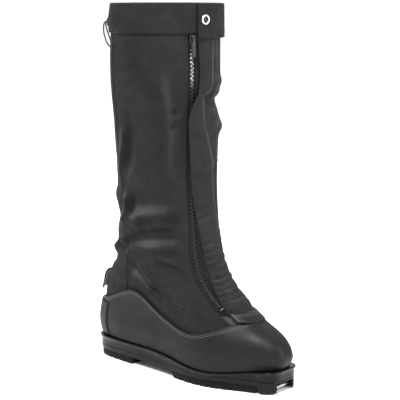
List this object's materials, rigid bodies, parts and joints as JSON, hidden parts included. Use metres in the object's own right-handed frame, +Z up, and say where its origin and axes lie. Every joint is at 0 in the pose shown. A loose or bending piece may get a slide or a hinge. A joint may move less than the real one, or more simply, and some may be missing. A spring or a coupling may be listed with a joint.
{
  "type": "cross country boot",
  "caption": "Tall cross-country touring boot with a moulded lower, a zipped knee-high gaiter, a storm flap and a binding bar at the toe.",
  "frame": {"origin": "on the ground under the middle of the boot, halfway between the backmost and the foremost point", "axes": "+X to the toe, +Y to the inner side of the leg, +Z up the shaft"},
  "size_m": [0.3129, 0.1486, 0.482],
  "materials": {
    "rubber": "matte moulded rubber",
    "sole_gloss": "glossy black moulded plastic",
    "steel": "bare steel",
    "board": "pressed fibre board",
    "felt": "dark felted lining",
    "coated_leather": "smooth satin coated leather",
    "gaiter_cloth": "dense plain-weave nylon",
    "stretch_cloth": "ribbed elastic knit",
    "tape": "woven tape",
    "hook_and_loop": "hook and loop pile",
    "nickel": "nickel plated",
    "zip_plastic": "moulded acetal",
    "cord": "braided elastic cord"
  },
  "bodies": {
    "boot": {"tread_forefoot": "rubber", "tread_heel": "rubber", "midsole": "sole_gloss", "sole_frame": "sole_gloss", "toe_insert": "sole_gloss", "toe_bar": "steel", "shank": "steel", "lasting_board": "board", "footbed": "felt", "lower_shell": "coated_leather", "backstay": "coated_leather", "heel_tab": "coated_leather", "heel_tab_lining": "felt", "toe_puff": "board", "heel_counter": "board", "vamp_tab": "coated_leather", "gaiter_lateral": "gaiter_cloth", "gaiter_back": "gaiter_cloth", "gaiter_medial": "gaiter_cloth", "gaiter_front": "gaiter_cloth", "stretch_panel": "stretch_cloth", "collar_band": "gaiter_cloth", "hem_tape": "tape", "storm_flap_lower": "gaiter_cloth", "flap_seam_tape": "tape", "loop_strip": "hook_and_loop", "hook_strip_lower": "hook_and_loop", "stud_post": "nickel", "zip_tape_lateral": "tape", "zip_tape_medial": "tape", "zip_teeth_lateral": "zip_plastic", "zip_teeth_medial": "zip_plastic", "zip_top_stops": "zip_plastic", "zip_bottom_stop": "zip_plastic", "inner_vamp": "felt", "inner_cuff": "felt", "cuff_padding": "felt", "tongue": "felt", "lace": "cord", "lace_loops": "nickel", "drawcord_hem": "cord", "drawcord_loop": "cord", "cord_grommet": "nickel", "cord_lock_body": "zip_plastic", "cord_lock_spring": "steel"},
    "flap_top": {"storm_flap_upper": "gaiter_cloth", "collar_tab": "gaiter_cloth", "hook_strip_upper": "hook_and_loop", "stud_cap": "nickel", "stud_socket": "nickel"},
    "slider": {"zip_slider": "zip_plastic"},
    "pull_tab": {"zip_pull": "zip_plastic"},
    "lock_button": {"cord_lock_button": "zip_plastic"}
  },
  "joints": [
    {"name": "flap_fold", "type": "hinge", "parent": "boot", "child": "flap_top", "pos_m": [0.03195, 0.023, 0.44], "axis": [0, 0, 1], "range_deg": [0, 110]},
    {"name": "zip_slide", "type": "slide", "parent": "boot", "child": "slider", "axis": [-0.0042, 0.0013, -1], "range_m": [0, 0.134]},
    {"name": "pull_swing", "type": "hinge", "parent": "slider", "child": "pull_tab", "pos_m": [0.02804, -0.02757, 0.43914], "axis": [-0.375, -0.927, -0.001], "range_deg": [0, 160]},
    {"name": "lock_press", "type": "slide", "parent": "boot", "child": "lock_button", "axis": [0, 0, -1], "range_m": [0, 0.0018], "stiffness_N_per_m": 300, "springref_m": -0.001, "deforming": ["cord_lock_spring"]}
  ]
}
